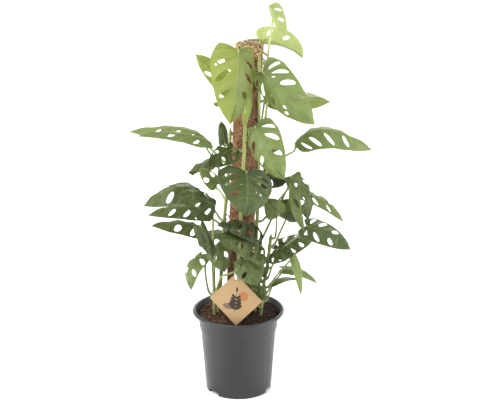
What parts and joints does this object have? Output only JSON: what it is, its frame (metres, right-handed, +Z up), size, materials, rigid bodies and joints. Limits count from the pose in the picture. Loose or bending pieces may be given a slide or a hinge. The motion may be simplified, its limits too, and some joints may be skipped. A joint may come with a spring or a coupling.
{
  "type": "potted swiss cheese vine",
  "caption": "Climbing swiss cheese vine with holed heart-shaped leaves, tied up a coir pole in a round tapered nursery pot with a blank kraft card tag.",
  "frame": {"origin": "middle of the flat underside of the pot, on the surface it stands on", "axes": "+Z up along the pot's axis; -Y towards the front of the plant, where the card hangs; +X to the right seen from the front"},
  "size_m": [0.4428, 0.2975, 0.7341],
  "materials": {
    "pot": "satin",
    "soil": "matte",
    "coir": "matte",
    "stake": "matte",
    "stem": "satin",
    "leaf_young": "satin",
    "leaf_bright": "satin",
    "leaf_mature": "satin",
    "leaf_deep": "satin",
    "card": "matte",
    "strap": "satin"
  },
  "bodies": {
    "root": {"pot": "pot", "soil": "soil", "coir_sleeve": "coir", "pole_core": "stake", "stem_right": "stem", "stem_left": "stem", "stem_front": "stem", "stem_back": "stem", "stem_lowerRight": "stem", "stem_lowerLeft": "stem", "leaf_01": "leaf_young", "leaf_02": "leaf_young", "leaf_03": "leaf_bright", "leaf_04": "leaf_bright", "leaf_05": "leaf_mature", "leaf_06": "leaf_bright", "leaf_07": "leaf_mature", "leaf_08": "leaf_mature", "leaf_09": "leaf_bright", "leaf_10": "leaf_mature", "leaf_11": "leaf_mature", "leaf_12": "leaf_deep", "leaf_13": "leaf_deep", "leaf_14": "leaf_mature", "leaf_15": "leaf_mature", "leaf_16": "leaf_deep", "leaf_17": "leaf_deep", "leaf_18": "leaf_deep", "leaf_19": "leaf_deep", "leaf_20": "leaf_mature", "leaf_21": "leaf_deep", "leaf_22": "leaf_deep", "leaf_23": "leaf_mature", "leaf_24": "leaf_deep", "leaf_25": "leaf_mature", "leaf_26": "leaf_mature", "leaf_27": "leaf_deep", "leaf_28": "leaf_deep", "leaf_29": "leaf_deep", "leaf_30": "leaf_mature", "leaf_31": "leaf_deep", "leaf_32": "leaf_mature", "leaf_33": "leaf_mature", "leaf_34": "leaf_deep", "leaf_35": "leaf_deep", "leaf_36": "leaf_mature", "leaf_37": "leaf_mature", "leaf_38": "leaf_mature", "leaf_39": "leaf_mature", "leaf_40": "leaf_mature", "leaf_41": "leaf_mature", "leaf_42": "leaf_deep", "leaf_43": "leaf_deep", "leaf_44": "leaf_deep", "leaf_45": "leaf_deep", "tag_card": "card", "tag_strap": "strap"}
  },
  "joints": []
}
